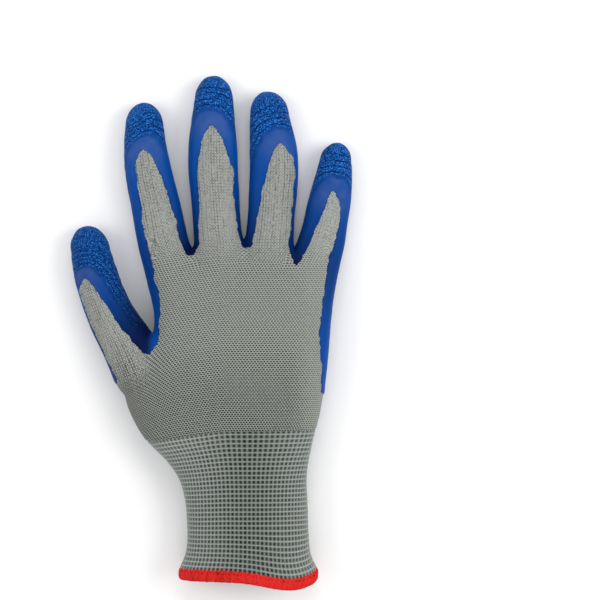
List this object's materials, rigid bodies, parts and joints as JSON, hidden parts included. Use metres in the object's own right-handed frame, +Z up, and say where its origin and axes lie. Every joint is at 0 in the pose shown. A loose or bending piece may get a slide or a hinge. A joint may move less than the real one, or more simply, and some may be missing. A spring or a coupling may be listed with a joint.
{
  "type": "knit work glove",
  "caption": "Seamless knit work glove for the right hand, latex-dipped palm and fingertips, mesh-knit cuff with an overlocked hem, lying palm down.",
  "frame": {"origin": "on the surface that the glove lies on, under the middle of its outline", "axes": "+Y from the hem to the fingertips, +X from the thumb to the little finger, +Z up, out of the back of the hand"},
  "size_m": [0.1375, 0.2498, 0.0269],
  "materials": {
    "knit": "fine grey polyester knit, matte with a slight thread sheen",
    "mesh_knit": "coarse grey rib knit with a grid of small holes, matte",
    "latex": "blue crinkle-finish latex, half gloss",
    "hem": "red elastic overlock thread, matte"
  },
  "bodies": {
    "root": {"knit_hand": "knit", "knit_thumb": "knit", "knit_index": "knit", "knit_middle": "knit", "knit_ring": "knit", "knit_little": "knit", "knit_cuff": "mesh_knit", "latex_palm": "latex", "latex_thumb": "latex", "latex_index": "latex", "latex_middle": "latex", "latex_ring": "latex", "latex_little": "latex", "cuff_hem": "hem"}
  },
  "joints": []
}
